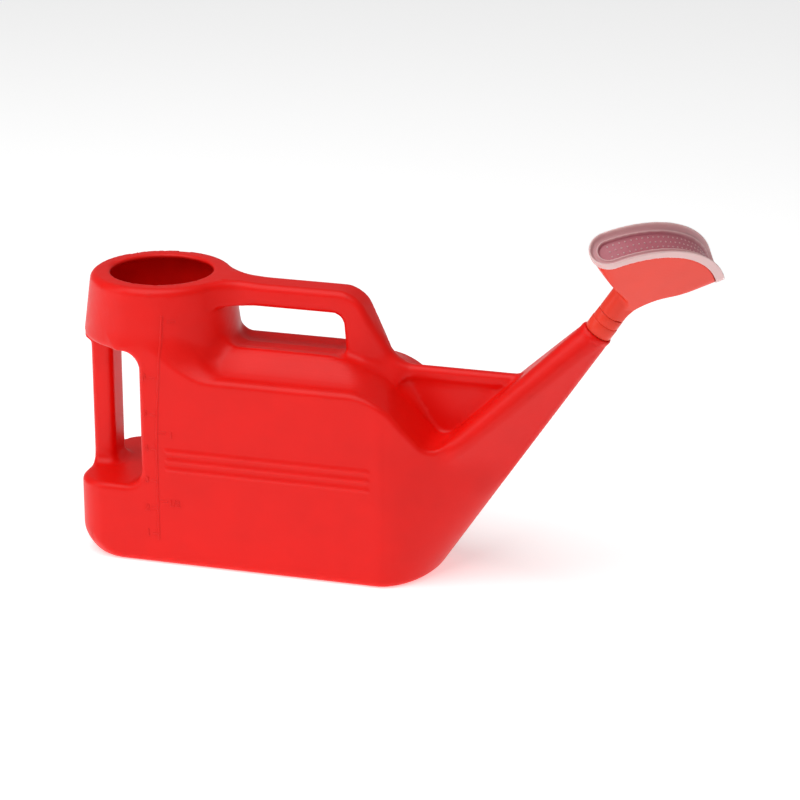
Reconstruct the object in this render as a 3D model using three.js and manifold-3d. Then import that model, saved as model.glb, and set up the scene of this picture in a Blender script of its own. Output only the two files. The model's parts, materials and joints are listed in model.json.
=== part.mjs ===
// A plastic watering can: a hollow blow-moulded body with a filler collar, two grips and a long
// tapering spout, a moulded rose that is pushed into the spout, and the rose's snap-on sprinkler face.
// Units are millimetres. +X runs to the spout, +Z is up, Y = 0 is the body's plane of symmetry,
// and the origin is on the ground under the centre of the filler mouth.
//
// The body is one moulding. It is divided here into simple shells, with a thin gap at each dividing
// plane, so that every shell follows its own wall and the inside of the tank stays open.

import * as THREE from 'three';
import { mergeVertices } from 'three/addons/utils/BufferGeometryUtils.js';
import Module from 'manifold-3d';

const wasm = await Module();
wasm.setup();

// ---------------------------------------------------------------- driving dimensions

const WALL = 1.8;
const GAP = 0.3;

const TANK_HALF_WIDTH = 66;
const TANK_REAR_X = -65;
const TANK_WALL_X = 0;
const TANK_FRONT_X = 215;
const TANK_TOP = 176;
const HEEL_TOP = 71;
const HEEL_FILLET = 16;
const HEEL_CORNER = 30;
const FOOT_ROUND = 6;
const SHOULDER_ROUND = 8;

const SADDLE_TOP = 197;
const VALLEY_X = 259;
const VALLEY_Z = 125;

const PROW_X = 258;
const PROW_Z = 2;
const SPOUT_LENGTH = 268.5;
const SPOUT_ROOT = 103;
const SPOUT_RADIUS = 13.3;
const SOCKET_RADIUS = 11.1;
const SOCKET_DEPTH = 15;
const SPOUT_INCLINE = THREE.MathUtils.degToRad(56.3);

const COLLAR_FOOT = 150;
const COLLAR_BOTTOM = 196;
const COLLAR_FILLET = 16;
const COLLAR_FRONT_X = 75;
const RIM_SPLIT_Z = 240;
const COLLAR_TOP = 254;
const MOUTH_RADIUS = 45.7;

const GRIP_HALF_WIDTH = 15.5;
const GRIP_TOP = 252;
const GRIP_UNDER = 231.5;
const GRIP_REAR_LEG_X = 175;
const COLUMN_FRONT_X = -45;

const RAIL_HALF_WIDTH = 6;
const RAIL_TOP = 187.5;
const RAIL_UNDER = 174.5;
const WEB_HALF_WIDTH = 3.5;

const RIB_HEIGHT = 5;
const RIB_PROUD = 1;
const RIB_LEVELS = [90, 100.5, 111];

const STEM_BORE = 8.6;
const STEM_LENGTH = 20.4;
const HEAD_START = 35.9;
const ROSE_TWIST = THREE.MathUtils.degToRad(37.9);
const ROSE_TILT = THREE.MathUtils.degToRad(-10.6);
const ROSE_LEAN = THREE.MathUtils.degToRad(-5.5);
const FACE_WIDTH = 32.7;
const FACE_STRAIGHT = 62.4;
const FACE_RADIUS = 90.3;
const FACE_DISTANCE = 75.3;
const FACE_HEIGHT = 8.2;
const ROSE_WALL = 1.8;

// ---------------------------------------------------------------- solids

// A manifold-3d solid from a closed geometry, without the flat triangles that meet at a pole.
function solid(geometry) {
  const bare = geometry.clone();
  bare.deleteAttribute('normal');
  bare.deleteAttribute('uv');
  const merged = mergeVertices(bare, 1e-4);
  const index = merged.index.array;
  const kept = [];
  for (let i = 0; i < index.length; i += 3) {
    const [a, b, c] = [index[i], index[i + 1], index[i + 2]];
    if (a !== b && b !== c && c !== a) kept.push(a, b, c);
  }
  return new wasm.Manifold(new wasm.Mesh({
    numProp: 3,
    vertProperties: new Float32Array(merged.attributes.position.array),
    triVerts: new Uint32Array(kept),
  }));
}

function geometryOf(manifold) {
  const mesh = manifold.getMesh();
  const geometry = new THREE.BufferGeometry();
  geometry.setAttribute('position', new THREE.BufferAttribute(Float32Array.from(mesh.vertProperties), 3));
  geometry.setIndex(new THREE.BufferAttribute(Uint32Array.from(mesh.triVerts), 1));
  geometry.computeVertexNormals();
  return geometry;
}

function union(...solids) {
  return solids.reduce((whole, next) => whole.add(next));
}

function box(x0, x1, y0, y1, z0, z1) {
  const geometry = new THREE.BoxGeometry(x1 - x0, y1 - y0, z1 - z0);
  geometry.translate((x0 + x1) / 2, (y0 + y1) / 2, (z0 + z1) / 2);
  return solid(geometry);
}

const FAR = 900;

// The space between two planes square to a direction, at the given distances from a point.
function slab(direction, point, from, to) {
  const geometry = new THREE.BoxGeometry(FAR, FAR, to - from);
  geometry.translate(0, 0, (from + to) / 2);
  geometry.applyQuaternion(new THREE.Quaternion().setFromUnitVectors(new THREE.Vector3(0, 0, 1), direction));
  geometry.translate(point.x, point.y, point.z);
  return solid(geometry);
}

// A closed outline from corners [a, b, radius] in anticlockwise order, each edge moved in by inset.
function outline(corners, inset = 0) {
  const count = corners.length;
  const point = (i) => new THREE.Vector2(corners[(i + count) % count][0], corners[(i + count) % count][1]);
  const shape = new THREE.Shape();
  for (let i = 0; i < count; i++) {
    const before = point(i).sub(point(i - 1)).normalize();
    const after = point(i + 1).sub(point(i)).normalize();
    const inward = new THREE.Vector2(-before.y - after.y, before.x + after.x);
    const corner = point(i).addScaledVector(inward, inset / (1 + before.dot(after)));
    const convex = before.cross(after) > 0;
    const radius = Math.max((corners[i][2] ?? 0) + (convex ? -inset : inset), 0);
    const reach = radius * Math.tan(Math.acos(THREE.MathUtils.clamp(before.dot(after), -1, 1)) / 2);
    const start = corner.clone().addScaledVector(before, -reach);
    if (i === 0) shape.moveTo(start.x, start.y);
    else shape.lineTo(start.x, start.y);
    if (reach > 0.1 && (corners[i][2] ?? 0) > 0) {
      const end = corner.clone().addScaledVector(after, reach);
      shape.quadraticCurveTo(corner.x, corner.y, end.x, end.y);
    }
  }
  shape.closePath();
  return shape;
}

// An outline in X and Z, extruded the same way to both sides of Y = 0, with rounded edges.
function acrossY(corners, halfWidth, { inset = 0, round = 0, segments = 4 } = {}) {
  const depth = 2 * (halfWidth - round);
  const geometry = new THREE.ExtrudeGeometry(outline(corners, inset + round), {
    depth,
    curveSegments: segments,
    bevelEnabled: round > 0,
    bevelSize: round,
    bevelThickness: round,
    bevelSegments: 3,
  });
  geometry.rotateX(Math.PI / 2);
  geometry.translate(0, depth / 2, 0);
  return solid(geometry);
}

// An outline in Y and Z, extruded along X.
function alongX(corners, x0, x1, inset = 0) {
  const geometry = new THREE.ExtrudeGeometry(outline(corners, inset), {
    depth: x1 - x0,
    curveSegments: 3,
    bevelEnabled: false,
  });
  const [x, y, z] = [new THREE.Vector3(1, 0, 0), new THREE.Vector3(0, 1, 0), new THREE.Vector3(0, 0, 1)];
  geometry.applyMatrix4(new THREE.Matrix4().makeBasis(y, z, x));
  geometry.translate(x0, 0, 0);
  return solid(geometry);
}

// Half a ring, whose first and last points lie on the plane of symmetry, made whole by its mirror image.
function mirrored(half, mirror) {
  const back = half.slice(1, -1).reverse().map(mirror);
  return [...half, ...back];
}

const mirrorY = (p) => new THREE.Vector3(p.x, -p.y, p.z);

// A skin over rings of mirrored points, each end closed by strips from one side to the other.
function loft(rings) {
  const count = rings[0].length;
  const half = count / 2;
  const positions = rings.flat().flatMap((p) => [p.x, p.y, p.z]);
  const index = [];
  const quad = (a, b, c, d) => index.push(a, b, c, a, c, d);
  for (let r = 0; r + 1 < rings.length; r++) {
    for (let i = 0; i < count; i++) {
      const next = (i + 1) % count;
      quad(r * count + i, r * count + next, (r + 1) * count + next, (r + 1) * count + i);
    }
  }
  const last = (rings.length - 1) * count;
  for (let i = 0; i < half; i++) {
    const [near, far] = [(count - i) % count, count - i - 1];
    if (i === 0) {
      index.push(last, last + 1, last + far, 0, far, 1);
    } else if (i === half - 1) {
      index.push(last + i, last + half, last + near, i, near, half);
    } else {
      quad(last + i, last + i + 1, last + far, last + near);
      quad(i, near, far, i + 1);
    }
  }
  const geometry = new THREE.BufferGeometry();
  geometry.setAttribute('position', new THREE.BufferAttribute(new Float32Array(positions), 3));
  geometry.setIndex(index);
  return solid(geometry);
}

// ---------------------------------------------------------------- body forms
// Each form is built twice: as the outside, with inset 0, and as the hollow, with inset WALL.

const NOSE_STEPS = 8;
const CORNER_STEPS = 5;

// Plan section of the tank and its wedge-shaped nose at height z.
function tankRing(z, inset) {
  const half = [];
  const width = TANK_HALF_WIDTH - inset;
  const prow = PROW_X + (z - PROW_Z) / Math.tan(SPOUT_INCLINE) - 1.3 * inset;
  const rise = THREE.MathUtils.clamp(z / VALLEY_Z, 0, 1);
  const [swell, taper] = [2 - 0.6 * rise, 0.5 + 0.25 * rise];
  for (let i = 0; i <= NOSE_STEPS; i++) {
    const along = Math.sin((1 - i / NOSE_STEPS) * Math.PI / 2);
    const y = width * Math.max(1 - along ** swell, 0) ** taper;
    half.push(new THREE.Vector3(TANK_FRONT_X + along * (prow - TANK_FRONT_X), y, z));
  }
  const radius = HEEL_CORNER - inset;
  for (let i = 0; i <= CORNER_STEPS; i++) {
    const angle = Math.PI / 2 * (1 + i / CORNER_STEPS);
    const x = TANK_REAR_X + HEEL_CORNER + radius * Math.cos(angle);
    half.push(new THREE.Vector3(x, TANK_HALF_WIDTH - HEEL_CORNER + radius * Math.sin(angle), z));
  }
  half.push(new THREE.Vector3(TANK_REAR_X + inset, 0, z));
  return mirrored(half, mirrorY);
}

function tankForm(inset) {
  const rings = [
    tankRing(inset, inset + FOOT_ROUND),
    tankRing(inset + 0.3 * FOOT_ROUND, inset + 0.3 * FOOT_ROUND),
    ...[FOOT_ROUND + inset, 30, 60, 90, VALLEY_Z, TANK_TOP - SHOULDER_ROUND - inset].map((z) => tankRing(z, inset)),
    tankRing(TANK_TOP - 0.3 * SHOULDER_ROUND - inset, inset + 0.3 * SHOULDER_ROUND),
    tankRing(TANK_TOP - inset, inset + SHOULDER_ROUND),
  ];
  const profile = [
    [TANK_REAR_X, 0, 26], [350, 0], [350, VALLEY_Z - 60.7], [VALLEY_X, VALLEY_Z],
    [TANK_FRONT_X, TANK_TOP + 1, 16], [TANK_FRONT_X - 15, 200], [TANK_WALL_X, 200],
    [TANK_WALL_X, HEEL_TOP, HEEL_FILLET], [TANK_REAR_X, HEEL_TOP, 6],
  ];
  return loft(rings).intersect(acrossY(profile, 100, { inset }));
}

// The raised saddle under the grip, and the crown of the shoulder on each side of it.
function saddleForm(inset) {
  const section = [
    [-62, 160], [62, 160], [62, TANK_TOP], [41, 182, 10], [29, SADDLE_TOP - 1, 5],
    [-29, SADDLE_TOP - 1, 5], [-41, 182, 10], [-62, TANK_TOP],
  ];
  const profile = [
    [40, 150], [TANK_FRONT_X + 20, 150], [TANK_FRONT_X + 1, TANK_TOP, 6], [181, SADDLE_TOP - 2, 12],
    [62, SADDLE_TOP + 3], [40, SADDLE_TOP + 3],
  ];
  return alongX(section, 40, TANK_FRONT_X + 20, inset).intersect(acrossY(profile, 100, { inset }));
}

// Semi-axes of the collar at each level: it is wider along X at its foot and round at its rim.
const COLLAR_STEPS = 20;

function collarForm(inset) {
  const levels = [
    [COLLAR_FOOT, 76, 65.9], [COLLAR_BOTTOM, 71.3, 65.9], [246, 64.1, 63.4],
    [250.8, 62.5, 62], [COLLAR_TOP, 57.5, 57.2],
  ];
  const rings = levels.map(([z, a, b]) => {
    const half = [];
    for (let i = 0; i <= COLLAR_STEPS; i++) {
      const angle = Math.PI * i / COLLAR_STEPS;
      const level = z === COLLAR_FOOT ? z : z - inset;
      half.push(new THREE.Vector3((a - inset) * Math.cos(angle), (b - inset) * Math.sin(angle), level));
    }
    return mirrored(half, mirrorY);
  });
  const gripSpace = [
    [-100, 100], [TANK_WALL_X, 100], [TANK_WALL_X, COLLAR_BOTTOM, COLLAR_FILLET], [-100, COLLAR_BOTTOM],
  ];
  return loft(rings).subtract(acrossY(gripSpace, 100, { inset: -inset }));
}

const AXIS = new THREE.Vector3(Math.cos(SPOUT_INCLINE), 0, Math.sin(SPOUT_INCLINE));
const PROW_SIDE = new THREE.Vector3(Math.sin(SPOUT_INCLINE), 0, -Math.cos(SPOUT_INCLINE));
const PROW_FOOT = new THREE.Vector3(PROW_X, 0, PROW_Z);
const PROW_ARC = 4;
const ROOF_ARC = 6;

// Section of the spout square to its axis, a triangle with round corners that ends as a circle.
function spoutRing(s, inset, bead = 0) {
  const left = SPOUT_LENGTH - s;
  const tight = SPOUT_RADIUS - 0.02 * left;
  const depth = 2 * SPOUT_RADIUS + 0.224 * left;
  const reach = Math.max(SPOUT_RADIUS + 0.396 * Math.max(left, 0) ** 0.9 - tight, 0.4);
  const slope = Math.atan2(reach + 1, depth - 2 * tight + 1.5);
  const radius = tight - inset + bead;
  const half = [];
  const add = (v, y) => {
    const p = PROW_FOOT.clone().addScaledVector(AXIS, s).addScaledVector(PROW_SIDE, -v);
    half.push(p.setY(y));
  };
  for (let i = 0; i <= PROW_ARC; i++) {
    const turn = (Math.PI / 2 - slope) * i / PROW_ARC;
    add(tight - radius * Math.cos(turn), radius * Math.sin(turn));
  }
  for (let i = 0; i <= ROOF_ARC; i++) {
    const turn = Math.PI / 2 - slope + (Math.PI / 2 + slope) * i / ROOF_ARC;
    add(depth - tight - radius * Math.cos(turn), reach + radius * Math.sin(turn));
  }
  add(depth - tight + radius, 0);
  return mirrored(half, mirrorY);
}

function spoutForm(inset) {
  const rings = [90, 130, 170, 210, 245].map((s) => spoutRing(s, inset));
  if (inset > 0) {
    rings.push(spoutRing(SPOUT_LENGTH + 6, inset));
  } else {
    rings.push(spoutRing(SPOUT_LENGTH - 5, 0), spoutRing(SPOUT_LENGTH - 4, 0, 0.6));
    rings.push(spoutRing(SPOUT_LENGTH - 0.6, 0, 0.6), spoutRing(SPOUT_LENGTH, 0));
  }
  return loft(rings);
}

// ---------------------------------------------------------------- body shells

const outside = union(tankForm(0), saddleForm(0), collarForm(0), spoutForm(0));
const hollow = union(tankForm(WALL), saddleForm(WALL), collarForm(WALL), spoutForm(WALL));

const mouthGeometry = new THREE.CylinderGeometry(MOUTH_RADIUS, MOUTH_RADIUS, 20, 40);
mouthGeometry.rotateX(Math.PI / 2);
mouthGeometry.translate(0, 0, COLLAR_TOP);
const shell = outside.subtract(hollow).subtract(solid(mouthGeometry));

const BASE_TOP = 4;
const WALL_TOP = 167;
const REAR_SPLIT_X = 7;
const REAR_SPLIT_Z = 95;
const SLOPE_DEPTH = 9;
const UP = new THREE.Vector3(0, 0, 1);
const ORIGIN = new THREE.Vector3();

const above = (z) => slab(UP, ORIGIN, z, FAR);
const between = (z0, z1) => slab(UP, ORIGIN, z0, z1);
const alongXBetween = (x0, x1) => box(x0, x1, -FAR, FAR, -FAR, FAR);

const slopeNormal = new THREE.Vector3(TANK_TOP + 1 - VALLEY_Z, 0, VALLEY_X - TANK_FRONT_X).normalize();
const valley = new THREE.Vector3(VALLEY_X, 0, VALLEY_Z);
const overSlope = slab(slopeNormal, valley, -SLOPE_DEPTH, FAR);
const underSlope = slab(slopeNormal, valley, -FAR, -SLOPE_DEPTH - GAP);
const spoutSide = slab(AXIS, PROW_FOOT, SPOUT_ROOT + GAP, FAR);
const noseSide = slab(AXIS, PROW_FOOT, -FAR, SPOUT_ROOT);

const ribs = union(...RIB_LEVELS.map((z) => box(
  25, 212, -TANK_HALF_WIDTH - RIB_PROUD, TANK_HALF_WIDTH + RIB_PROUD, z - RIB_HEIGHT / 2, z + RIB_HEIGHT / 2,
))).subtract(box(0, 240, 1 - TANK_HALF_WIDTH, TANK_HALF_WIDTH - 1, 60, 140));
const sides = shell.add(ribs).intersect(between(BASE_TOP + GAP, WALL_TOP))
  .intersect(alongXBetween(REAR_SPLIT_X + GAP, TANK_FRONT_X - 1));

const front = shell.intersect(above(BASE_TOP + GAP)).intersect(alongXBetween(TANK_FRONT_X - 1 + GAP, FAR));
const slopePiece = front.intersect(overSlope).intersect(alongXBetween(0, VALLEY_X - 1));
const nose = union(
  front.intersect(alongXBetween(0, VALLEY_X - 1)).intersect(underSlope),
  front.intersect(alongXBetween(VALLEY_X - 1 - 0.001, FAR)).intersect(noseSide)
    .subtract(slab(slopeNormal, valley, -SLOPE_DEPTH - GAP, FAR).intersect(alongXBetween(0, VALLEY_X - 1 + GAP))),
);

// The round socket in the end of the spout, which holds the rose's stem.
const spoutEnd = PROW_FOOT.clone().addScaledVector(AXIS, SPOUT_LENGTH).addScaledVector(PROW_SIDE, -SPOUT_RADIUS);
const socketGeometry = new THREE.CylinderGeometry(SOCKET_RADIUS, SOCKET_RADIUS, 2 * SOCKET_DEPTH, 40);
socketGeometry.applyQuaternion(new THREE.Quaternion().setFromUnitVectors(new THREE.Vector3(0, 1, 0), AXIS));
socketGeometry.translate(spoutEnd.x, spoutEnd.y, spoutEnd.z);
const spout = front.intersect(spoutSide).intersect(alongXBetween(VALLEY_X - 1 + GAP, FAR))
  .subtract(solid(socketGeometry));

const rear = shell.intersect(box(-FAR, REAR_SPLIT_X, -FAR, FAR, BASE_TOP + GAP, WALL_TOP));
const top = shell.intersect(above(WALL_TOP + GAP)).intersect(alongXBetween(-FAR, TANK_FRONT_X - 1));

// ---------------------------------------------------------------- grips, rail and web

const gripProfile = [
  [50, GRIP_UNDER], [GRIP_REAR_LEG_X - 3, GRIP_UNDER, 10], [GRIP_REAR_LEG_X + 1, 186], [223, 172],
  [213, 199, 25], [186, GRIP_TOP, 14], [50, GRIP_TOP],
];
const clearOfBody = outside.add(tankForm(-GAP)).add(saddleForm(-GAP)).add(collarForm(-GAP)).add(spoutForm(-GAP));
const gripOutside = acrossY(gripProfile, GRIP_HALF_WIDTH, { round: 5 });
const gripInside = acrossY(gripProfile, GRIP_HALF_WIDTH - WALL, { inset: WALL, round: 3 });
const topGrip = gripOutside.subtract(gripInside).subtract(clearOfBody);

const columnProfile = [
  [TANK_REAR_X, 50], [COLUMN_FRONT_X, 50], [COLUMN_FRONT_X, 200], [TANK_REAR_X, 200],
];
const columnShell = acrossY(columnProfile, GRIP_HALF_WIDTH, { round: 5 })
  .subtract(acrossY(columnProfile, GRIP_HALF_WIDTH - WALL, { inset: WALL, round: 3 }));
const rearGrip = columnShell.subtract(clearOfBody)
  .intersect(between(HEEL_TOP + GAP, COLLAR_BOTTOM - GAP));

const railProfile = [[200, RAIL_UNDER], [340, RAIL_UNDER], [340, RAIL_TOP], [200, RAIL_TOP]];
const webProfile = [[200, RAIL_UNDER + 1], [VALLEY_X - 30, 110], [VALLEY_X + 30, 110], [340, RAIL_UNDER + 1]];
const gripWithGap = acrossY(gripProfile, GRIP_HALF_WIDTH + GAP, { inset: -GAP, round: 5 });
const rail = union(
  acrossY(railProfile, RAIL_HALF_WIDTH, { round: 4 }),
  acrossY(webProfile, WEB_HALF_WIDTH),
).subtract(clearOfBody).subtract(gripWithGap).intersect(box(214, 330, -20, 20, 100, 200));

// ---------------------------------------------------------------- rose
// In the rose's own frame, z is the spout's axis, x is the long way of the face, and z = 0 is at
// the end of the spout. The face is a band with round ends on a cylinder. It is tilted about x and
// leans a little along x.

const bandSteps = 9;
const endSteps = 5;

// A profile [radius, z, ...], anticlockwise in the (radius, z) plane, turned about z.
function turned(profile, segments) {
  const points = [...profile, profile[0]].map(([r, z]) => new THREE.Vector2(r, z));
  const geometry = new THREE.LatheGeometry(points, segments);
  geometry.rotateX(Math.PI / 2);
  return solid(geometry);
}

const stemProfile = [
  [STEM_BORE, -14], [10.4, -14], [10.8, -12], [10.8, GAP], [12.5, GAP], [12.5, 11.4], [11.6, 11.9],
  [11.6, 12.6], [12.2, 13.1], [12, STEM_LENGTH], [STEM_BORE, STEM_LENGTH],
];

// The stations along the face, from its +x end to its -x end: [distance along the arc, half width].
function faceStations(inset) {
  const radius = FACE_WIDTH / 2 - inset;
  const stations = [];
  for (let i = 0; i <= endSteps; i++) {
    const angle = Math.PI / 2 * i / endSteps;
    stations.push([FACE_STRAIGHT + radius * Math.cos(angle), radius * Math.sin(angle)]);
  }
  for (let i = 1; i <= bandSteps; i++) {
    stations.push([FACE_STRAIGHT * (1 - 2 * i / (bandSteps + 1)), radius]);
  }
  const mirror = stations.slice(0, endSteps + 1).reverse().map(([along, width]) => [-along, width]);
  return [...stations, ...mirror];
}

// A point of the rose from its place along the arc, across it, and its height off the arc.
function facePoint(along, across, height) {
  const angle = along / FACE_RADIUS;
  const radius = FACE_RADIUS + height;
  const out = radius * Math.sin(angle);
  const lift = FACE_DISTANCE - FACE_RADIUS + radius * Math.cos(angle);
  const rise = lift * Math.cos(ROSE_LEAN) - out * Math.sin(ROSE_LEAN);
  return new THREE.Vector3(
    out * Math.cos(ROSE_LEAN) + lift * Math.sin(ROSE_LEAN),
    across * Math.cos(ROSE_TILT) + rise * Math.sin(ROSE_TILT),
    HEAD_START - across * Math.sin(ROSE_TILT) + rise * Math.cos(ROSE_TILT),
  );
}

function faceRing(inset, height) {
  const stations = faceStations(inset);
  const half = stations.map(([along, across]) => facePoint(along, across, height));
  const back = stations.slice(1, -1).reverse().map(([along, across]) => facePoint(along, -across, height));
  return [...half, ...back];
}

function stemRing(radius, z) {
  const count = faceStations(0).length - 1;
  const half = [];
  for (let i = 0; i <= count; i++) {
    const angle = Math.PI * i / count;
    half.push(new THREE.Vector3(radius * Math.cos(angle), radius * Math.sin(angle), z));
  }
  return mirrored(half, mirrorY);
}

function headForm(inset, top) {
  const from = stemRing(11.8 - inset, HEAD_START);
  const to = faceRing(inset, top);
  const flare = [0.12, 0.3, 0.55, 0.8].map((t) => from.map((p, i) => {
    const wide = t ** 1.25;
    const goal = to[i];
    return new THREE.Vector3(
      THREE.MathUtils.lerp(p.x, goal.x, t),
      THREE.MathUtils.lerp(p.y, goal.y, wide),
      THREE.MathUtils.lerp(p.z, goal.z, t),
    );
  }));
  const foot = inset > 0 ? STEM_LENGTH - 5 : STEM_LENGTH + GAP;
  return loft([stemRing(12 - inset, foot), from, ...flare, to]);
}

const roseHead = headForm(0, 0).subtract(headForm(ROSE_WALL, 2));

const HOLE_RADIUS = 1;
const HOLE_ROWS = [-5.5, 0, 5.5];
const HOLE_PITCH = 10;
const HOLE_COUNT = 13;

function faceHole(along, across) {
  const geometry = new THREE.CylinderGeometry(HOLE_RADIUS, HOLE_RADIUS, 16, 6);
  const middle = facePoint(along, across, 3);
  const outward = facePoint(along, across, 4).sub(middle).normalize();
  geometry.applyQuaternion(new THREE.Quaternion().setFromUnitVectors(new THREE.Vector3(0, 1, 0), outward));
  geometry.translate(middle.x, middle.y, middle.z);
  return solid(geometry);
}

function roseFace() {
  const rim = loft([
    faceRing(0, GAP), faceRing(0, FACE_HEIGHT - 1.6), faceRing(1.2, FACE_HEIGHT),
  ]);
  const recess = loft([faceRing(6.4, FACE_HEIGHT - 1.8), faceRing(6.4, FACE_HEIGHT + 2)]);
  const inside = loft([faceRing(1.5, -1), faceRing(1.5, FACE_HEIGHT - 3.4)]);
  let face = rim.subtract(recess).subtract(inside);
  HOLE_ROWS.forEach((across, row) => {
    const count = HOLE_COUNT + row % 2;
    for (let i = 0; i < count; i++) {
      face = face.subtract(faceHole((i - (count - 1) / 2) * HOLE_PITCH, across));
    }
  });
  return face;
}

// ---------------------------------------------------------------- the assembly

const red = new THREE.MeshStandardMaterial({ color: 0xc41414, roughness: 0.42, metalness: 0 });
const roseRed = new THREE.MeshStandardMaterial({ color: 0xcf1a1c, roughness: 0.36, metalness: 0 });
const clear = new THREE.MeshStandardMaterial({ color: 0xeeb4ae, roughness: 0.3, metalness: 0 });

function node(name, manifold, material) {
  const mesh = new THREE.Mesh(geometryOf(manifold), material);
  mesh.name = name;
  return mesh;
}

const can = new THREE.Group();
can.add(
  node('tank_base', shell.intersect(between(-1, BASE_TOP)), red),
  node('tank_heel', rear.intersect(between(0, REAR_SPLIT_Z)), red),
  node('tank_rear_wall', rear.intersect(above(REAR_SPLIT_Z + GAP)), red),
  node('tank_side_left', sides.intersect(box(-FAR, FAR, 0, FAR, 0, FAR)), red),
  node('tank_side_right', sides.intersect(box(-FAR, FAR, -FAR, 0, 0, FAR)), red),
  node('tank_nose_left', nose.intersect(box(-FAR, FAR, GAP / 2, FAR, 0, FAR)), red),
  node('tank_nose_right', nose.intersect(box(-FAR, FAR, -FAR, -GAP / 2, 0, FAR)), red),
  node('tank_front_slope', slopePiece, red),
  node('tank_shoulder', top.intersect(alongXBetween(COLLAR_FRONT_X + GAP, FAR)), red),
  node('filler_collar', top.intersect(box(-FAR, COLLAR_FRONT_X, -FAR, FAR, 0, RIM_SPLIT_Z)), red),
  node('filler_rim', top.intersect(above(RIM_SPLIT_Z + GAP)), red),
  node('top_grip', topGrip, red),
  node('rear_grip', rearGrip, red),
  node('spout', spout, red),
  node('spout_rail', rail, red),
);

const rose = new THREE.Group();
const across = new THREE.Vector3(0, Math.cos(ROSE_TWIST), 0).addScaledVector(PROW_SIDE, Math.sin(ROSE_TWIST));
const short = new THREE.Vector3().crossVectors(AXIS, across);
rose.quaternion.setFromRotationMatrix(new THREE.Matrix4().makeBasis(across, short, AXIS));
rose.position.copy(spoutEnd);
rose.add(
  node('rose_stem', turned(stemProfile, 36), roseRed),
  node('rose_head', roseHead, roseRed),
  node('rose_face', roseFace(), clear),
);
can.add(rose);

export default can;
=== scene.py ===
import json
import math

import bmesh
import bpy
import numpy as np
import openvdb
from mathutils import Matrix, Vector
from mathutils.bvhtree import BVHTree

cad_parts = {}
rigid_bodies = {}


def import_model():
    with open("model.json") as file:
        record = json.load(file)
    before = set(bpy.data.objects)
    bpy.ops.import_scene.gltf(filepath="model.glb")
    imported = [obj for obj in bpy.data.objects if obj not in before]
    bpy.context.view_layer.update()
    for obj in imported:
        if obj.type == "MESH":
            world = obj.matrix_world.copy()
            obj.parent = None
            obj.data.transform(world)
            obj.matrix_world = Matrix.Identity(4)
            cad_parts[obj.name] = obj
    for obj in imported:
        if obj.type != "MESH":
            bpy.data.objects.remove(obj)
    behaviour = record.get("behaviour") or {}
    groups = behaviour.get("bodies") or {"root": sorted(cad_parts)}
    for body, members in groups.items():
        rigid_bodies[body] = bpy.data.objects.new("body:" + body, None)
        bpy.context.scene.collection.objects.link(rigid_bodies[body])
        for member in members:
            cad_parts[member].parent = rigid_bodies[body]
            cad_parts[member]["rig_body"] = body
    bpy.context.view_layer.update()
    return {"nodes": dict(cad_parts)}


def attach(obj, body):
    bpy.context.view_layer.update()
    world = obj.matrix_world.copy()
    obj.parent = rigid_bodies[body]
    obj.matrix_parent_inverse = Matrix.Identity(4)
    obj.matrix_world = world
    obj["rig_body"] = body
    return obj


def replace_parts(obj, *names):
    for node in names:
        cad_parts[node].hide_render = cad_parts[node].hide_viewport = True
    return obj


MM = 0.001
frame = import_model()

# ---------------------------------------------------------------- sizes

CAN_STEP = 1.4
WALL = 3.0
LEAST_WALL = 2.9
HALF_WIDTH = 66
COLLAR_HALF = 62.9
COLLAR_FLARE = 0.055
RIM_LEVEL = 254
MOUTH_RADIUS = 45.7
REAR_X = -65
HEEL_TOP = 71
COLLAR_BOTTOM = 196
NOSE_X = 215
GRIP_HALF = 15.5
RIB_LEVELS = (91.2, 99.6, 108.0)
RIB_HALF = 2.9
RIB_HEIGHT = 1.3
LITRE_LEVELS = (29, 53, 79, 109, 141, 175)

INCLINE = math.radians(56.3)
COS, SIN, TAN = math.cos(INCLINE), math.sin(INCLINE), math.tan(INCLINE)
PROW = (258.0, 2.0)
SPOUT_LENGTH = 268.5
SPOUT_RADIUS = 13.3
SPOUT_FLARE = 0.224
BORE_RADIUS = 11.1

HEAD_STEP = 0.8
HEAD_START = 35.9
HEAD_WALL = 3
NECK_RADIUS = 12
PASSAGE_RADIUS = 8.6
STEM_LENGTH = 20.4
FACE_STEP = 0.7
FACE_STRAIGHT = 62.4
FACE_END = 16.35
FACE_RADIUS = 90.3
FACE_DISTANCE = 75.3
HOLE_PITCH = 5.2
TWIST, TILT, LEAN = math.radians(37.9), math.radians(-10.6), math.radians(-5.5)

# ---------------------------------------------------------------- the can's shape, as a distance field

def rmax(a, b, r):
    """What a and b both contain, with the edge between them rounded by r."""
    return np.minimum(-r, np.maximum(a, b)) + np.hypot(np.maximum(a + r, 0), np.maximum(b + r, 0))


def rmin(a, b, r):
    """What a or b contains, with a fillet r in the corner between them."""
    return -rmax(-a, -b, r)


def smooth(low, high, v):
    """0 up to low, 1 from high, and an even curve between them."""
    t = np.clip((v - low) / (high - low), 0, 1)
    return t * t * (3 - 2 * t)


def along_spout(x, z):
    """Distance along the spout from the foot of the prow, and depth behind the prow line."""
    dx, dz = x - PROW[0], z - PROW[1]
    return dx * COS + dz * SIN, dz * COS - dx * SIN


def half_width(z):
    """Half the can's width at z, which narrows above the tank towards the rim."""
    return np.minimum(HALF_WIDTH, COLLAR_HALF + COLLAR_FLARE * (RIM_LEVEL - z))


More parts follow.
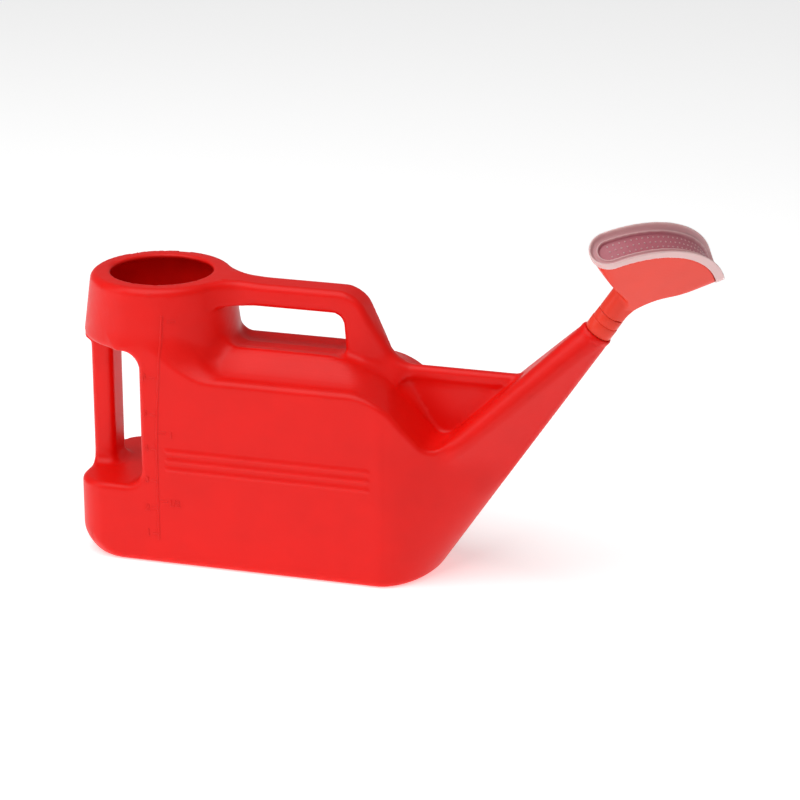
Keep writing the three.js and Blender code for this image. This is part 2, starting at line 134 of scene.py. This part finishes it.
def side_wall(x, y, z):
    """The long flat sides, which draw together into the rounded nose."""
    rise = np.clip(z / 125, 0, 1)
    bend, power = 2 - 0.6 * rise, 1 / (0.5 + 0.25 * rise)
    reach = PROW[0] + (z - PROW[1]) / TAN - NOSE_X
    t = np.clip((x - NOSE_X) / reach, 0, None)
    level = (y / HALF_WIDTH) ** power + t ** bend - 1
    across = power / HALF_WIDTH * (y / HALF_WIDTH) ** (power - 1)
    ahead = bend * t ** (bend - 1) / reach
    nose = level / np.maximum(np.sqrt(across**2 + ahead**2 * (1 + (t / TAN) ** 2)), 1e-3)
    m = smooth(214, 226, x)
    return (1 - m) * (y - half_width(z)) + m * np.clip(nose, -45, 45)


def spout(x, y, z):
    """The long spout: a triangle with round corners that ends as a circle, with a small bead."""
    s, v = along_spout(x, z)
    left = np.maximum(SPOUT_LENGTH - s, 0)
    tight = SPOUT_RADIUS - 0.02 * left
    depth = 2 * SPOUT_RADIUS + SPOUT_FLARE * left
    half = np.maximum(SPOUT_RADIUS + 0.396 * left**0.9 - tight, 0.4)
    base = depth - 2 * tight
    length = np.hypot(base, half)
    t = np.clip(((v - tight) * base + y * half) / length**2, 0, 1)
    to_side = np.hypot(v - tight - t * base, y - t * half)
    to_roof = np.hypot(v - tight - base, np.maximum(y - half, 0))
    inside = (v - tight - base < 0) & (y * base - (v - tight) * half < 0)
    bead = 0.7 * smooth(263.5, 264.8, s) * (1 - smooth(267, 268.2, s))
    return np.where(inside, -1, 1) * np.minimum(to_side, to_roof) - tight - bead


def tank_top(x, y, z):
    """Below the sloping shoulder, the saddle under the top grip, and the slope down to the spout."""
    s, v = along_spout(x, z)
    shoulder = (z - (176 + 0.24 * (HALF_WIDTH - y))) * 0.972
    crest = 192.8 + 4.2 * smooth(8, 27, y)
    saddle = rmax(z - crest, (y - 29) * 0.76 + (z - 196) * 0.65, 5)
    saddle = rmax(saddle, (x - 181) * 0.468 + (z - 195) * 0.884, 10)
    slope = 0.763 * (x - NOSE_X) + 0.646 * (z - 177)
    roof = v - 2 * SPOUT_RADIUS - SPOUT_FLARE * (SPOUT_LENGTH - s)
    low = rmax(rmin(shoulder, saddle, 9), rmin(slope, roof, 14), 18)
    return np.maximum(low, np.where(z > 133, -x, -200))


def collar_and_grip(x, y, z, whole):
    """The filler collar, and with it the top grip and its gap."""
    a = np.interp(z, (150, COLLAR_BOTTOM, RIM_LEVEL), (76, 71.1, COLLAR_HALF))
    b = half_width(z)
    k = np.sqrt((x / a) ** 2 + (y / b) ** 2)
    collar = k * (k - 1) / np.maximum(np.sqrt((x / a**2) ** 2 + (y / b**2) ** 2), 1e-4)
    collar = np.maximum(collar, -50)
    high = collar
    if whole:
        bar = np.maximum(y - GRIP_HALF + 8 * smooth(188, 216, x), np.maximum(178 - z, 40 - x))
        gap = rmax(z - 231.5, x - (174.5 - 0.09 * (z - 200)), 9)
        gap = np.maximum(gap, y - 26 - 60 * (1 - smooth(78, 92, x)))
        high = rmax(rmin(collar, bar, 20), -rmax(gap, -collar, 2), 5 * smooth(76, 92, x))
    level = RIM_LEVEL - 2 * smooth(60, 100, x)
    return rmax(high, rmax(z - level, 0.877 * (x - 186) + 0.483 * (z - 247), 14), 6)


def rail_and_web(x, y, z):
    """The bar from the top grip to the spout, and the thin wall below it."""
    rail = rmax(rmax(y - 6, z - 187.5, 5), 174.5 - z, 5)
    rail = np.maximum(rail, np.maximum(x - 335, 205 - x))
    web = np.maximum(np.maximum(y - 3.5, abs(z - 144) - 34), abs(x - 262) - 57)
    return rmin(rail, web, 3)


def can_field(x, y, z, whole):
    """The outside of the can. Without the grips, rail, ribs and open end it guides the hollow."""
    body = rmin(tank_top(x, y, z), collar_and_grip(x, y, z, whole), 12 + 23 * smooth(35, 60, y))
    plan = rmax(side_wall(x, y, z), REAR_X - 30 * smooth(184, 200, z) - x, 30)
    body = rmax(plan, body, 1.5 + 2.5 * smooth(5, 60, x))
    rear = rmin(rmin(-x, z - HEEL_TOP, 16), COLLAR_BOTTOM - z, 16)
    if whole:
        rear = rmin(rear, rmax(y - GRIP_HALF, x + 45, 6), 9)
    body = rmax(body, rear, 5)
    body = rmax(body, -z, 6 + 20 * (1 - smooth(-60, -20, x)))

    s = along_spout(x, z)[0]
    ahead = x[:, 0, 0] > 260
    weight = (smooth(88, 128, s) * smooth(262, 285, x))[ahead]
    body[ahead] += weight * (spout(x[ahead], y, z) - body[ahead])
    if whole:
        body = np.maximum(body, np.minimum(s - SPOUT_LENGTH, 30))
        body = rmin(body, rail_and_web(x, y, z), 4 + 9 * (1 - smooth(222, 250, x)))
        ribs = sum(smooth(0, 1, 1 - abs(z - level) / RIB_HALF) for level in RIB_LEVELS)
        span = smooth(23, 26, x) * (1 - smooth(210, 213, x)) * smooth(50, 60, y)
        body = body - RIB_HEIGHT * ribs * span
    return body


def add(data):
    piece = bpy.data.objects.new(data.name, data)
    bpy.context.scene.collection.objects.link(piece)
    return piece


def placed(piece, matrix):
    piece.data.transform(matrix)
    return piece


def skin(name, field, corner, step, adaptivity):
    """The surface of a sampled field as a smooth mesh whose normals come from the field."""
    field = np.clip(field / step, -3, 3).astype(np.float32)
    grid = openvdb.FloatGrid(3.0)
    grid.copyFromArray(field)
    points, triangles, quads = grid.convertToPolygons(isovalue=0.0, adaptivity=adaptivity)
    mesh = bpy.data.meshes.new(name)
    faces = triangles.tolist() + quads.tolist()
    mesh.from_pydata(((points * step + corner) * MM).tolist(), [], faces)

    cell = np.floor(points).astype(int)
    part = points - cell
    normals = np.zeros((len(points), 3))
    slopes = np.gradient(field)
    for offset in np.ndindex(2, 2, 2):
        share = np.prod(np.where(offset, part, 1 - part), axis=1)
        place = tuple((cell + offset).T)
        normals += share[:, None] * np.stack([g[place] for g in slopes], axis=1)
    normals /= np.maximum(np.linalg.norm(normals, axis=1, keepdims=True), 1e-9)
    mesh.shade_smooth()
    mesh.normals_split_custom_set_from_vertices(normals.tolist())
    return add(mesh)


def axes(low, high, step):
    """Sample places along three axes, shaped so that they spread into a grid."""
    lines = [np.arange(a, b, step, dtype=np.float32) for a, b in zip(low, high)]
    return lines[0][:, None, None], lines[1][None, :, None], lines[2][None, None, :]


def can_skin():
    """The hollow can. One half is sampled and the other is its mirror image."""
    low = (-80, 0, -4)
    x, y, z = axes(low, (412, 73, 260), CAN_STEP)
    outside = can_field(x, y, z, True)
    hollow = can_field(x, y, z, False) + WALL + 1.5 * smooth(246, 250, z)
    hollow = np.maximum(hollow, outside + LEAST_WALL)
    s, v = along_spout(x, z)
    bore = np.maximum(np.hypot(v - SPOUT_RADIUS, y) - BORE_RADIUS, 252 - s)
    mouth = np.maximum(np.hypot(x, y) - MOUTH_RADIUS, 235 - z)
    field = rmax(np.maximum(np.maximum(outside, -hollow), -bore), -mouth, 1.7)
    field = np.concatenate([field[:, :0:-1], field], axis=1)
    return skin("can_skin", field, (low[0], -y[0, -1, 0], low[2]), CAN_STEP, 0.12)


# ---------------------------------------------------------------- the rose's shape
# In the rose's own frame z is the spout's axis, x the long way of the face, and z = 0 the spout's end.

def rose_matrix():
    axis, down = Vector((COS, 0, SIN)), Vector((SIN, 0, -COS))
    end = Vector((PROW[0], 0, PROW[1])) + SPOUT_LENGTH * axis - SPOUT_RADIUS * down
    across = math.cos(TWIST) * Vector((0, 1, 0)) + math.sin(TWIST) * down
    turn = Matrix((across, axis.cross(across), axis)).transposed().to_4x4()
    return Matrix.Translation(end * MM) @ turn


def fan(x, y, z):
    """Across the fan's thickness, out and up in its plane, and up and in from the edge of its face."""
    rise = (z - HEAD_START) * math.cos(TILT) + y * math.sin(TILT)
    across = y * math.cos(TILT) - (z - HEAD_START) * math.sin(TILT)
    out = x * math.cos(LEAN) - rise * math.sin(LEAN)
    lift = x * math.sin(LEAN) + rise * math.cos(LEAN)
    over = lift + FACE_RADIUS - FACE_DISTANCE
    height = np.hypot(out, over) - FACE_RADIUS
    along = FACE_RADIUS * np.arctan2(out, over)
    edge = np.hypot(np.maximum(abs(along) - FACE_STRAIGHT, 0), across) - FACE_END
    return across, out, lift, height, edge


def head_skin(matrix):
    """The flared head: a round neck that opens into a flat wedge, hollow from the neck to its rim."""
    low = (-78, -36, 16)
    x, y, z = axes(low, (78, 24, 118), HEAD_STEP)
    across, out, lift, height, edge = fan(x, y, z)
    wedge = ((abs(out) - 12) * 30 - (lift - 13) * 57) / 64.4
    form = rmin(np.hypot(x, y) - NECK_RADIUS, wedge, 6 + 12 * smooth(-6, 6, x))
    half = 11.2 + 0.073 * np.clip(lift, 0, None) + 0.2 * np.clip(-lift, 0, None)
    form = rmax(form, abs(across) - half, 1)
    form = rmax(form, np.where(lift > 2, edge + 0.8, -30), 3)
    hollow = np.maximum(form + HEAD_WALL, 24 - z)
    field = rmax(form, height, 0.5)
    field = np.maximum(np.maximum(field, -hollow), STEM_LENGTH + 0.3 - z)
    field = np.maximum(field, PASSAGE_RADIUS - np.hypot(x, y) - 60 * smooth(24, 30, z))
    return placed(skin("rose_head_skin", field, low, HEAD_STEP, 0.0), matrix)


# Distance in from the cap's edge, and the height of its top there.
FACE_PROFILE = (
    (0, 8.2), (1.4, 8.2), (2.6, 4.4), (5.4, 3.6), (6.0, 4.8), (6.9, 4.8), (7.6, 1.7), (20, 1.5),
)


def face_skin(matrix):
    """The cap: a skirt, a sloping border, a ridge, and a sunken slot with the holes."""
    low = (-80, -40, 60)
    x, y, z = axes(low, (80, 16, 128), FACE_STEP)
    height, edge = fan(x, y, z)[3:]
    top = np.interp(-edge, *zip(*FACE_PROFILE))
    under = np.interp(-edge, (1.6, 2.2, 4.6, 5.4), (0.2, 2.2, 2, 0))
    field = rmax(rmax(edge, (height - top) * 0.6, 0.4), under - height, 0.2)
    face = skin("rose_face_skin", field, low, FACE_STEP, 0.0)
    points = np.array([corner.co for corner in face.data.vertices]) / MM
    depth = -fan(*points.T)[4]
    # Painted shade: how much the cap is darkened and reddened, by depth in from its edge. It is strongest
    # in the sunken slot and stands in for the shade there and for the red head seen through.
    slot_painted_shade = np.interp(depth, (1.2, 2.2, 5.4, 6.0, 6.8, 7.4), (0, 0.55, 0.6, 0.25, 0.25, 1))
    shade = face.data.attributes.new("slot_painted_shade", "FLOAT", "POINT")
    shade.data.foreach_set("value", slot_painted_shade.astype(np.float32))
    return placed(face, matrix)


def face_point(along, across, height):
    """A point on the curved face, in the rose's frame."""
    angle = along / FACE_RADIUS
    out = (FACE_RADIUS + height) * math.sin(angle)
    lift = FACE_DISTANCE - FACE_RADIUS + (FACE_RADIUS + height) * math.cos(angle)
    rise = lift * math.cos(LEAN) - out * math.sin(LEAN)
    return Vector((
        out * math.cos(LEAN) + lift * math.sin(LEAN),
        across * math.cos(TILT) + rise * math.sin(TILT),
        HEAD_START - across * math.sin(TILT) + rise * math.cos(TILT),
    ))


def face_holes(name, radius, height, tall, matrix):
    """A small round post, or a small dark disc of painted shadow that stands in for the shade inside a
    hole, at each hole of the face.
    """
    shape = bmesh.new()
    for across in (-HOLE_PITCH, 0, HOLE_PITCH):
        for i in range(-12, 13):
            foot = face_point(HOLE_PITCH * i, across, height)
            axis = face_point(HOLE_PITCH * i, across, height + 1) - foot
            turn = axis.to_track_quat("Z", "Y").to_matrix().to_4x4()
            bmesh.ops.create_cone(
                shape, cap_ends=True, segments=12, radius1=radius, radius2=radius * 0.85, depth=tall,
                matrix=Matrix.Scale(MM, 4) @ Matrix.Translation(foot) @ turn,
            )
    mesh = bpy.data.meshes.new(name)
    shape.to_mesh(mesh)
    shape.free()
    return placed(add(mesh), matrix)


# Radius and distance along the stem, from its inner end round to the head and back along its passage.
STEM_PROFILE = (
    (PASSAGE_RADIUS, -14), (10.1, -14), (10.8, -12.6), (10.8, 0.3), (12.2, 0.3), (12.5, 0.7), (12.5, 10.9),
    (12.2, 11.4), (11.7, 11.6), (11.7, 12.1), (12.1, 12.4), (12.2, 12.9), (12.05, 19.8),
    (11.7, STEM_LENGTH), (PASSAGE_RADIUS, STEM_LENGTH),
)


def stem(matrix):
    """The push-fit stem, turned from its profile."""
    segments = 96
    corners, faces = [], []
    count = len(STEM_PROFILE)
    for i in range(segments):
        angle = 2 * math.pi * i / segments
        corners += [(r * MM * math.cos(angle), r * MM * math.sin(angle), z * MM) for r, z in STEM_PROFILE]
        near, far = i * count, (i + 1) % segments * count
        for k in range(count):
            after = (k + 1) % count
            faces.append((near + k, far + k, far + after, near + after))
    mesh = bpy.data.meshes.new("rose_stem_skin")
    mesh.from_pydata(corners, [], faces)
    mesh.shade_smooth()
    mesh.set_sharp_from_angle(angle=math.radians(40))
    return placed(add(mesh), matrix)


# ---------------------------------------------------------------- raised marks on the can's near side

def wall_place(tree, x, z):
    """The point of the can's near side at x and z, both in millimetres, where a line along +Y meets it."""
    for slip in (0, 0.03, -0.03):
        start = Vector(((x + slip) * MM, -0.2, (z + slip) * MM))
        hit = tree.ray_cast(start, Vector((0, 1, 0)))[0]
        if hit:
            return Vector((x * MM, hit.y, z * MM))
    raise ValueError("no wall at %.1f, %.1f" % (x, z))


def raised(name, shape, tree):
    """Lays a flat shape, drawn in x and y with its thickness in z, on the can's near side."""
    for corner in shape.verts:
        x, z, up = corner.co
        corner.co = wall_place(tree, x, z) + Vector((0, -up * MM, 0))
    mesh = bpy.data.meshes.new(name)
    shape.to_mesh(mesh)
    shape.free()
    mesh.shade_smooth()
    mesh.set_sharp_from_angle(angle=math.radians(25))
    return add(mesh)


def strip(shape, points, width, proud):
    """A raised line with sloping edges through points that run upwards or to the right."""
    spread = ((-0.5, -0.1), (-0.15, proud), (0.15, proud), (0.5, -0.1))
    rows = []
    for k, (x, z) in enumerate(points):
        before, after = points[max(k - 1, 0)], points[min(k + 1, len(points) - 1)]
        run = Vector((after[0] - before[0], after[1] - before[1])).normalized()
        side = Vector((-run.y, run.x))
        places = [(x + side.x * width * w, z + side.y * width * w, up) for w, up in spread]
        rows.append([shape.verts.new(place) for place in places])
    for a, b in zip(rows, rows[1:]):
        for k in range(3):
            shape.faces.new((a[k], b[k], b[k + 1], a[k + 1]))
    shape.faces.new(rows[0])
    shape.faces.new(rows[-1][::-1])


def digits(text, x, z, height):
    """Raised numerals centred on x and z."""
    curve = bpy.data.curves.new("numeral", "FONT")
    curve.body, curve.size, curve.align_x, curve.align_y = text, height * 1.4, "CENTER", "CENTER"
    curve.extrude, curve.bevel_depth, curve.offset = 0.15, 0.3, 0.04
    letter = add(curve)
    shape = bmesh.new()
    shape.from_mesh(letter.evaluated_get(bpy.context.evaluated_depsgraph_get()).to_mesh())
    bpy.data.objects.remove(letter)
    for corner in shape.verts:
        corner.co += Vector((x, z, 0))
    return shape


# ---------------------------------------------------------------- materials

def noise(nodes, links, place, scale, detail):
    texture = nodes.new("ShaderNodeTexNoise")
    texture.inputs["Scale"].default_value = scale
    texture.inputs["Detail"].default_value = detail
    links.new(place.outputs["Object"], texture.inputs["Vector"])
    return texture.outputs["Fac"]


def plastic(name, colour, roughness, mottle=0.04, glow=0.0):
    """Moulded plastic: uneven colour and gloss, an orange-peel surface, and glow, the light let through."""
    material = bpy.data.materials.new(name)
    material.use_nodes = True
    nodes, links = material.node_tree.nodes, material.node_tree.links
    shader = nodes["Principled BSDF"]
    shader.inputs["IOR"].default_value = 1.5
    shader.inputs["Specular IOR Level"].default_value = 0.24
    shader.inputs["Subsurface Weight"].default_value = glow
    shader.inputs["Subsurface Radius"].default_value = (0.006, 0.0003, 0.0003)
    shader.inputs["Subsurface Scale"].default_value = 1.0
    place = nodes.new("ShaderNodeTexCoord")

    ramp = nodes.new("ShaderNodeValToRGB")
    dark, light = ramp.color_ramp.elements
    dark.position, light.position = 0.3, 0.7
    dark.color = [c * (1 - mottle) for c in colour] + [1]
    light.color = [min(c * (1 + mottle), 1) for c in colour] + [1]
    links.new(noise(nodes, links, place, 22, 5), ramp.inputs["Fac"])
    links.new(ramp.outputs["Color"], shader.inputs["Base Color"])

    gloss = nodes.new("ShaderNodeMapRange")
    gloss.inputs["To Min"].default_value = roughness - 0.06
    gloss.inputs["To Max"].default_value = roughness + 0.06
    links.new(noise(nodes, links, place, 90, 6), gloss.inputs["Value"])
    links.new(gloss.outputs["Result"], shader.inputs["Roughness"])

    bump = nodes.new("ShaderNodeBump")
    bump.inputs["Strength"].default_value = 0.35
    bump.inputs["Distance"].default_value = 0.00012
    links.new(noise(nodes, links, place, 900, 3), bump.inputs["Height"])
    links.new(bump.outputs["Normal"], shader.inputs["Normal"])
    return material


def cloudy(name):
    """Milky translucent plastic with painted shade: darker and redder where the attribute stored by
    face_skin is high. This is strongest in the cap's sunken slot and weaker on its border, and stands in
    for the shade there and for the red head seen through.
    """
    material = plastic(name, (0.90, 0.61, 0.60), 0.34, mottle=0.03)
    nodes, links = material.node_tree.nodes, material.node_tree.links
    shader = nodes["Principled BSDF"]
    shader.inputs["Transmission Weight"].default_value = 0.15
    shader.inputs["Subsurface Weight"].default_value = 0.2
    shader.inputs["Subsurface Radius"].default_value = (0.004, 0.002, 0.002)
    depth = nodes.new("ShaderNodeAttribute")
    depth.attribute_name = "slot_painted_shade"
    # Painted shade: the colour is multiplied towards a dark red by that attribute.
    painted_shade_tint = nodes.new("ShaderNodeMix")
    painted_shade_tint.data_type, painted_shade_tint.blend_type = "RGBA", "MULTIPLY"
    painted_shade_tint.inputs["B"].default_value = (0.62, 0.27, 0.34, 1)
    links.new(depth.outputs["Fac"], painted_shade_tint.inputs["Factor"])
    links.new(nodes["Color Ramp"].outputs["Color"], painted_shade_tint.inputs["A"])
    links.new(painted_shade_tint.outputs["Result"], shader.inputs["Base Color"])
    return material


RED = plastic("red_polyethylene", (0.80, 0.006, 0.003), 0.38, glow=0.3)
ROSE_RED = plastic("rose_plastic", (0.82, 0.046, 0.022), 0.34)
CLOUDY = cloudy("cloudy_face")
HOLE_PAINTED_SHADOW = plastic("hole_shadow", (0.20, 0.03, 0.03), 0.6)

# ---------------------------------------------------------------- pieces

def finish_piece(piece, body, material):
    piece.data.materials.append(material)
    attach(piece, body)
    return piece


can = finish_piece(can_skin(), "can", RED)
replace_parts(can, *[n for n, o in frame["nodes"].items() if o["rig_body"] == "can"])
near_side = BVHTree.FromObject(can, bpy.context.evaluated_depsgraph_get())

marks = bmesh.new()
strip(marks, [(16 + 1.2 * smooth(100, 240, z) * 5, z) for z in range(23, 232, 4)], 2.6, 0.6)
for level in LITRE_LEVELS:
    strip(marks, [(10.5, level), (13, level), (15.6, level)], 2.6, 0.5)
for low, high, level in ((17.5, 25, 60), (17.5, 25, 125), (26, 33, 226)):
    strip(marks, [(low, level), ((low + high) / 2, level), (high, level)], 2.6, 0.5)
finish_piece(raised("scale_lines", marks, near_side), "can", RED)
numerals = [(str(n + 1), 6.2, level) for n, level in enumerate(LITRE_LEVELS)]
for text, x, level in numerals + [("1/2", 31.5, 59), ("1", 30, 123)]:
    piece = raised("numeral_%d" % level, digits(text, x, level, 6), near_side)
    finish_piece(piece, "can", RED)

placing = rose_matrix()
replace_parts(finish_piece(stem(placing), "rose_stem", ROSE_RED), "rose_stem")
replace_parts(finish_piece(head_skin(placing), "rose_head", ROSE_RED), "rose_head")
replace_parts(finish_piece(face_skin(placing), "rose_face", CLOUDY), "rose_face")
finish_piece(face_holes("face_posts", 0.7, 1.7, 0.9, placing), "rose_face", CLOUDY)
# Painted shadow: small dark discs at the tips of the posts, where the shade inside each hole would be.
finish_piece(face_holes("face_holes", 0.3, 2.1, 0.3, placing), "rose_face", HOLE_PAINTED_SHADOW)

# ---------------------------------------------------------------- stage

def floor_white():
    material = bpy.data.materials.new("floor_white")
    material.use_nodes = True
    shader = material.node_tree.nodes["Principled BSDF"]
    shader.inputs["Base Color"].default_value = (0.93, 0.93, 0.93, 1)
    shader.inputs["Roughness"].default_value = 0.7
    shader.inputs["Emission Color"].default_value = (1, 1, 1, 1)
    shader.inputs["Emission Strength"].default_value = 0.48
    return material


ground = bpy.data.meshes.new("floor")
ground.from_pydata([(-6, -6, 0), (6, -6, 0), (6, 6, 0), (-6, 6, 0)], [], [(0, 1, 2, 3)])
ground.materials.append(floor_white())
add(ground)

world = bpy.data.worlds.new("studio")
world.use_nodes = True
world.node_tree.nodes["Background"].inputs["Color"].default_value = (1, 1, 1, 1)
world.node_tree.nodes["Background"].inputs["Strength"].default_value = 0.24
bpy.context.scene.world = world


def softbox(name, place, target, width, height, power):
    """A rectangular light at place that shines at target."""
    light = bpy.data.lights.new(name, "AREA")
    light.shape, light.size, light.size_y, light.energy = "RECTANGLE", width, height, power
    lamp = add(light)
    lamp.location = place
    lamp.rotation_euler = (Vector(place) - Vector(target)).to_track_quat("Z", "Y").to_euler()


softbox("ceiling", (-0.2, -0.8, 2.3), (0.2, -0.1, 0), 2.6, 2.6, 48)
softbox("front", (0.1, -2.4, 1.1), (0.15, 0, 0.12), 1.8, 1.0, 2)
softbox("left", (-1.9, -1.2, 1.0), (0.1, 0, 0.14), 1.0, 1.4, 8)

VIEW_CENTRE = Vector((0.219884, 0, 0.153080))
VIEW_DISTANCE = 2.631579
azimuth, elevation = math.radians(16.454), math.radians(19.522)
level_back = math.cos(elevation)
back = Vector((math.sin(azimuth) * level_back, -math.cos(azimuth) * level_back, math.sin(elevation)))
view = bpy.data.cameras.new("camera")
view.lens = 135
view.sensor_width = 36
view.clip_end = 50
camera = add(view)
camera.location = VIEW_CENTRE + VIEW_DISTANCE * back
camera.rotation_euler = back.to_track_quat("Z", "Y").to_euler()
bpy.context.scene.camera = camera
bpy.context.scene.view_settings.view_transform = "Standard"
